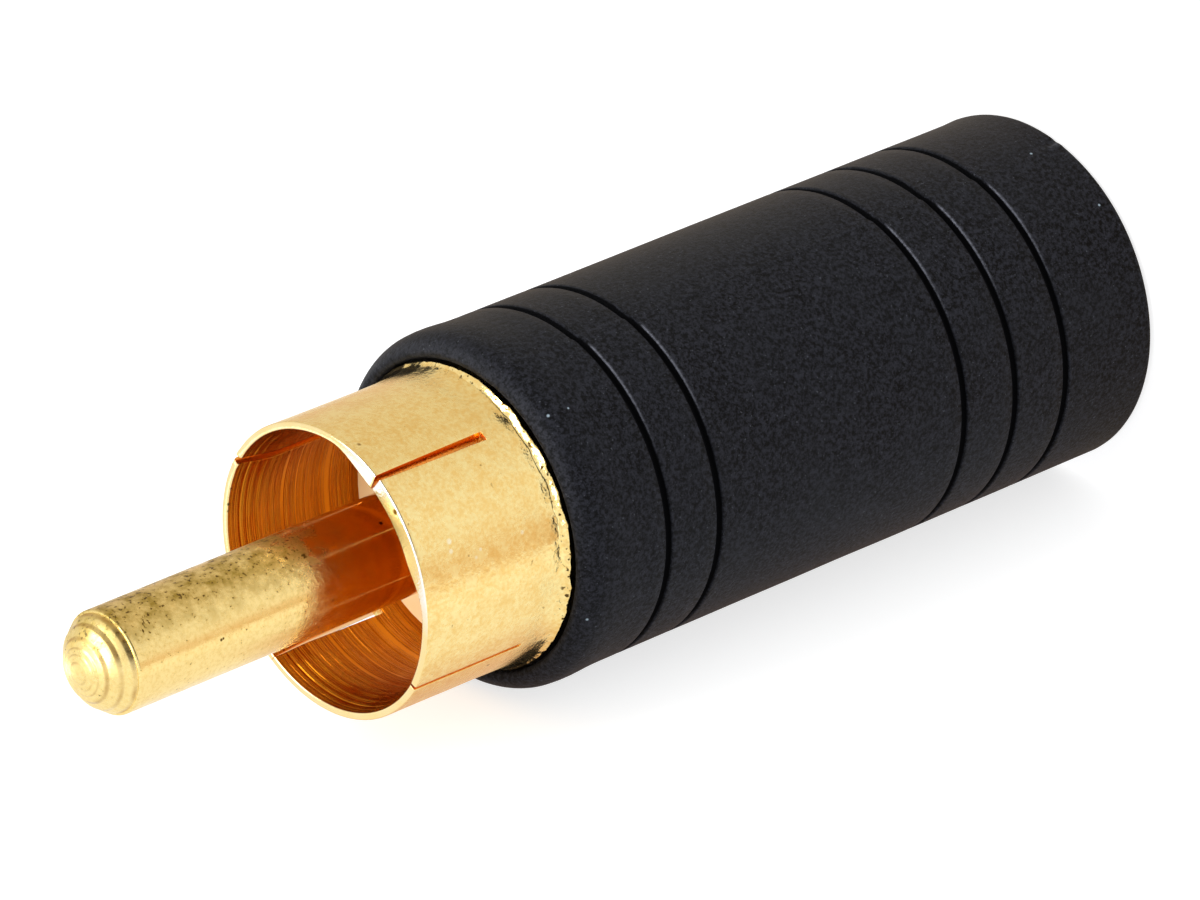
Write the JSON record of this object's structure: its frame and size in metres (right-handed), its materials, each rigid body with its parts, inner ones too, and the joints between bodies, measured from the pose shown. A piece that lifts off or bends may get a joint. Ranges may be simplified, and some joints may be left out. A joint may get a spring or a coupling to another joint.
{
  "type": "phono plug adaptor",
  "caption": "Moulded audio adaptor: slit gold shell and centre pin of a phono plug at one end of a grooved black grip, a 3.5 mm jack socket in the other.",
  "frame": {"origin": "centre of the jack end's flat face", "axes": "+Z along the plug's axis, from the jack end towards the tip of the centre pin; slits of the shell on X and Y"},
  "size_m": [0.011, 0.011, 0.0382],
  "materials": {
    "grip": "matte moulded PVC",
    "gold": "gold plated, turned",
    "insulator": "moulded, natural white",
    "housing": "moulded black",
    "bronze": "stamped phosphor bronze",
    "tinned": "tinned",
    "inner": "moulded, natural"
  },
  "bodies": {
    "root": {"body_moulding": "grip", "plug_shell": "gold", "plug_insulator": "insulator", "centre_pin": "gold", "jack_bushing": "gold", "sleeve_tag": "tinned", "jack_housing": "housing", "tip_spring": "bronze", "signal_wire": "tinned", "ground_wire": "tinned", "solder_tip_lug": "tinned", "solder_pin_cup": "tinned", "solder_sleeve_tag": "tinned", "solder_shell": "tinned", "inner_mould": "inner"}
  },
  "joints": []
}
